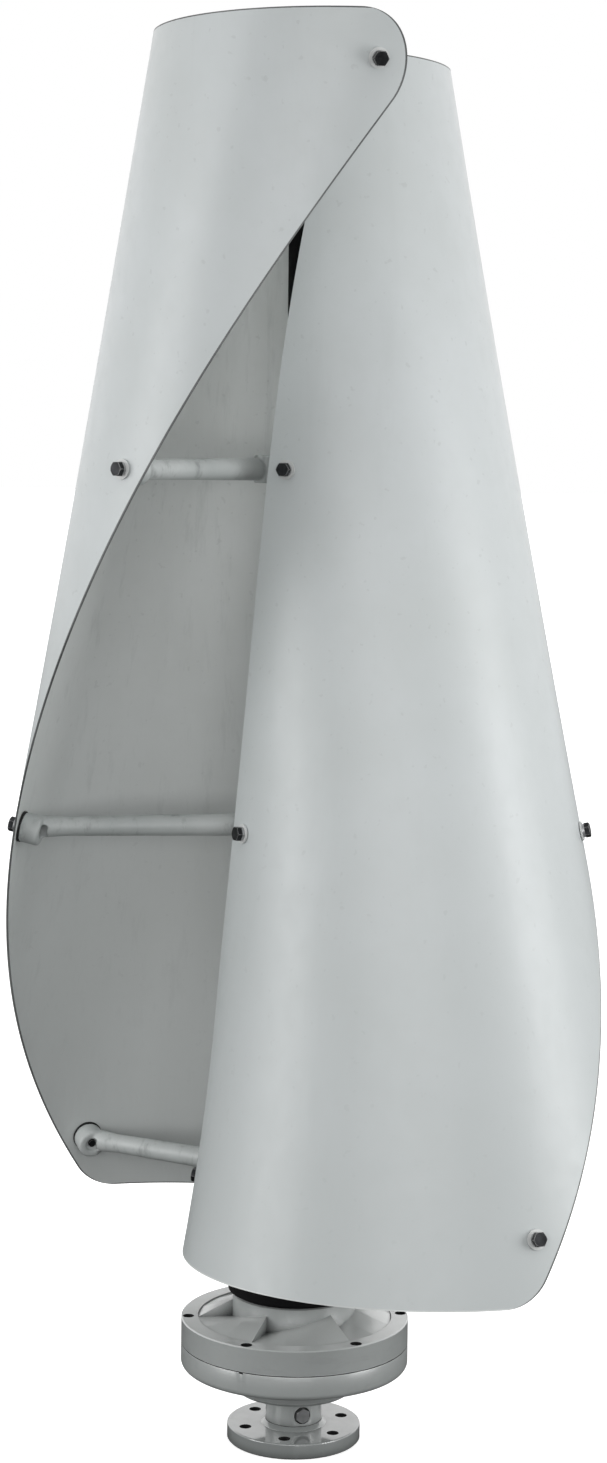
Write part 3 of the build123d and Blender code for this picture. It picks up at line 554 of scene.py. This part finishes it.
def paint_hole_shadow(node_name, axes, radius, reach=None):
    """Paints shadow on the walls of deep holes with a near-black material; reach is how far out from the
    centre they start.
    """
    cad = NODES[node_name]
    cad.data.materials.append(MATERIALS["painted_hole_shadow"])
    place = cad.matrix_world
    for polygon in cad.data.polygons:
        centre = place @ polygon.center / MM
        for point, direction in axes:
            away = centre - point
            along = away.dot(direction)
            away -= direction * along
            if away.length < radius * WALL_SLACK and (reach is None or along > reach):
                facing = (place.to_3x3() @ polygon.normal).dot(direction)
                if abs(facing) < WALL_TILT:
                    polygon.material_index = SHADOW_SLOT


paint_hole_shadow("base_flange", upright_axes(FOOT_PCD_R, FOOT_HOLE_TURN), FOOT_HOLE_R)
paint_hole_shadow("upper_cover", upright_axes(COVER_PCD_R, COVER_BOLT_TURN), COVER_HOLE_R)
neck_axes = []
for turn in (NECK_BOLT_TURN, NECK_BOLT_TURN + 180.0):
    outward = Vector((cos(radians(turn)), sin(radians(turn)), 0.0))
    neck_axes.append((Vector((0, 0, NECK_BOLT_Z)), outward))
paint_hole_shadow("lower_cover", neck_axes, NECK_RECESS_R, NECK_RECESS_START)

# ------------------------------------------------------------------ soft edges
WELD_REACH = 0.00002
SOFT_EDGES = {
    "base_flange": 0.5, "lower_cover": 0.7, "drive_flange": 0.5, "mast_flange": 0.5,
    "outer_edge_bolts": 0.25, "inner_edge_bolts": 0.25, "hub_bolts": 0.25, "neck_bolts": 0.25,
    "clamp_bolts": 0.25, "clamp_nuts": 0.25, "cover_bolts": 0.2,
}
for node_name, width in SOFT_EDGES.items():
    cad = NODES[node_name]
    weld = cad.modifiers.new("weld", "WELD")
    weld.merge_threshold = WELD_REACH
    bevel = cad.modifiers.new("soft_edge", "BEVEL")
    bevel.width = width * MM
    bevel.segments = 2
    bevel.limit_method = "ANGLE"
    bevel.angle_limit = radians(35)


def casting_from(cad_name, name, voxel, rounds):
    """Casting with blended corners, remeshed from the CAD solid's faces."""
    source = NODES[cad_name]
    obj = new_object(name, source.data.copy())
    remesh = obj.modifiers.new("remesh", "REMESH")
    remesh.mode = "VOXEL"
    remesh.voxel_size = voxel * MM
    smooth = obj.modifiers.new("smooth", "CORRECTIVE_SMOOTH")
    smooth.iterations = rounds
    smooth.use_only_smooth = True
    smooth.factor = 0.5
    bpy.context.view_layer.update()
    depsgraph = bpy.context.evaluated_depsgraph_get()
    mesh = bpy.data.meshes.new_from_object(obj.evaluated_get(depsgraph))
    obj.modifiers.clear()
    old = obj.data
    obj.data = mesh
    bpy.data.meshes.remove(old)
    for polygon in mesh.polygons:
        polygon.use_smooth = True
    return obj


# ---------------------------------------------------------------------- pieces
CASTING_VOXEL = 1.0
CASTING_ROUNDS = 6

for letter, turned in (("a", 0), ("b", 1)):
    sheet = build_blade(f"blade_{letter}_sheet", turned)
    dress(sheet, "blade_outside", "blade_inside", "blade_edge_shaded", "blade_edge_lit")
    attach(sheet, "rotor")
    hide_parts(f"blade_{letter}")

for level in ("bottom", "lower", "upper", "top"):
    for letter in "ab":
        cad_name = f"{level}_arm_{letter}"
        arm = casting_from(cad_name, f"{cad_name}_casting", CASTING_VOXEL, CASTING_ROUNDS)
        dress(arm, "arm_paint")
        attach(arm, "rotor")
        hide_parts(cad_name)

# ------------------------------------------------------------ floor and lights
FLOOR_GLOW = 0.62
FLOOR_BOUNCE = 0.06
FLOOR_REACH = 60.0
FLOOR_Z = -0.0005

floor_grid = bmesh.new()
bmesh.ops.create_grid(floor_grid, x_segments=1, y_segments=1, size=FLOOR_REACH)
floor = new_object("floor", floor_grid)
floor.location.z = FLOOR_Z
floor_material, floor_tree, floor_shader, _ = base_material("pale_floor")
floor_shader.inputs["Base Color"].default_value = (0.85, 0.85, 0.85, 1.0)
floor_shader.inputs["Roughness"].default_value = 0.9
floor_shader.inputs["Specular IOR Level"].default_value = 0.1
floor_shader.inputs["Emission Color"].default_value = (1.0, 1.0, 1.0, 1.0)
floor_shader.inputs["Emission Strength"].default_value = FLOOR_GLOW
bounce = floor_tree.nodes.new("ShaderNodeBsdfDiffuse")
bounce.inputs["Color"].default_value = (FLOOR_BOUNCE, FLOOR_BOUNCE, FLOOR_BOUNCE, 1.0)
floor_choice = floor_tree.nodes.new("ShaderNodeMixShader")
floor_view = floor_tree.nodes.new("ShaderNodeLightPath").outputs["Is Camera Ray"]
floor_tree.links.new(floor_view, floor_choice.inputs[0])
floor_tree.links.new(bounce.outputs[0], floor_choice.inputs[1])
floor_tree.links.new(floor_shader.outputs[0], floor_choice.inputs[2])
floor_tree.links.new(floor_choice.outputs[0], floor_tree.nodes["Material Output"].inputs["Surface"])
floor.data.materials.append(floor_material)

SKY_FRONT = 0.64
SKY_LEFT = 0.30
SKY_RIGHT = 0.30
SKY_TOP = 0.10
SKY_BACK = 0.50
world = bpy.data.worlds.new("studio")
SCENE.world = world
world.use_nodes = True
sky = world.node_tree
direction = sky.nodes.new("ShaderNodeTexCoord").outputs["Generated"]
axes = sky.nodes.new("ShaderNodeSeparateXYZ")
sky.links.new(direction, axes.inputs[0])


def sky_term(axis, low, high, low_value, high_value):
    return ramp(sky, axes.outputs[axis], low, high, low_value, high_value)


def sky_sum(a, b):
    n = sky.nodes.new("ShaderNodeMath")
    n.operation = "ADD"
    sky.links.new(a, n.inputs[0])
    sky.links.new(b, n.inputs[1])
    return n.outputs[0]


# glow by direction: left and right walls, ceiling, and the wall behind the object
glow = sky_sum(sky_term("X", -1.0, -0.1, SKY_LEFT, 0.0), sky_term("X", 0.1, 1.0, 0.0, SKY_RIGHT))
glow = sky_sum(glow, sky_term("Z", 0.0, 1.0, SKY_FRONT, SKY_FRONT + SKY_TOP))
glow = sky_sum(glow, sky_term("Y", 0.0, 1.0, 0.0, SKY_BACK))
lit = sky.nodes["Background"]
lit.inputs["Color"].default_value = (1.0, 1.0, 1.0, 1.0)
sky.links.new(glow, lit.inputs["Strength"])
seen = sky.nodes.new("ShaderNodeBackground")
seen.inputs["Color"].default_value = (1.0, 1.0, 1.0, 1.0)
choice = sky.nodes.new("ShaderNodeMixShader")
sky.links.new(sky.nodes.new("ShaderNodeLightPath").outputs["Is Camera Ray"], choice.inputs[0])
sky.links.new(lit.outputs[0], choice.inputs[1])
sky.links.new(seen.outputs[0], choice.inputs[2])
sky.links.new(choice.outputs[0], sky.nodes["World Output"].inputs["Surface"])


LEFT_POWER = 16.0
RIGHT_POWER = 21.0
FRONT_POWER = 14.0


def area_light(name, place, target, size, power):
    data = bpy.data.lights.new(name, "AREA")
    data.shape = "RECTANGLE"
    data.size, data.size_y = size
    data.energy = power
    obj = bpy.data.objects.new(name, data)
    obj.location = place
    aim = Vector(target) - Vector(place)
    obj.rotation_euler = aim.to_track_quat("-Z", "Y").to_euler()
    obj.visible_camera = False
    SCENE.collection.objects.link(obj)
    return obj


area_light("left_wall", (-2.0, -0.8, 0.75), (0, 0, 0.75), (1.0, 1.3), LEFT_POWER)
area_light("right_wall", (2.0, -0.7, 0.75), (0, 0, 0.75), (1.0, 1.3), RIGHT_POWER)
area_light("front_wall", (-0.1, -2.4, 0.8), (0, 0, 0.8), (1.7, 0.9), FRONT_POWER)

# ---------------------------------------------------------------------- camera
CAMERA_DISTANCE = 2.7468
CAMERA_HEIGHT = 0.9920
CAMERA_SIDE = -0.0005
PITCH = 0.0128
ROLL = 0.01126
SHIFT_Y = -0.1697
LENS = 67.59
SENSOR_WIDTH = 36.0

camera_data = bpy.data.cameras.new("camera")
camera_data.lens = LENS
camera_data.sensor_width = SENSOR_WIDTH
camera_data.shift_y = SHIFT_Y
camera_data.clip_end = 200.0
camera = bpy.data.objects.new("camera", camera_data)
right = Vector((1, 0, 0))
up = Vector((0, sin(PITCH), cos(PITCH)))
forward = Vector((0, cos(PITCH), -sin(PITCH)))
rolled_right = right * cos(ROLL) + up * sin(ROLL)
rolled_up = up * cos(ROLL) - right * sin(ROLL)
pose = Matrix((rolled_right, rolled_up, -forward)).transposed().to_4x4()
pose.translation = Vector((CAMERA_SIDE, -CAMERA_DISTANCE, CAMERA_HEIGHT))
camera.matrix_world = pose
SCENE.collection.objects.link(camera)
SCENE.camera = camera
SCENE.view_settings.view_transform = "Standard"
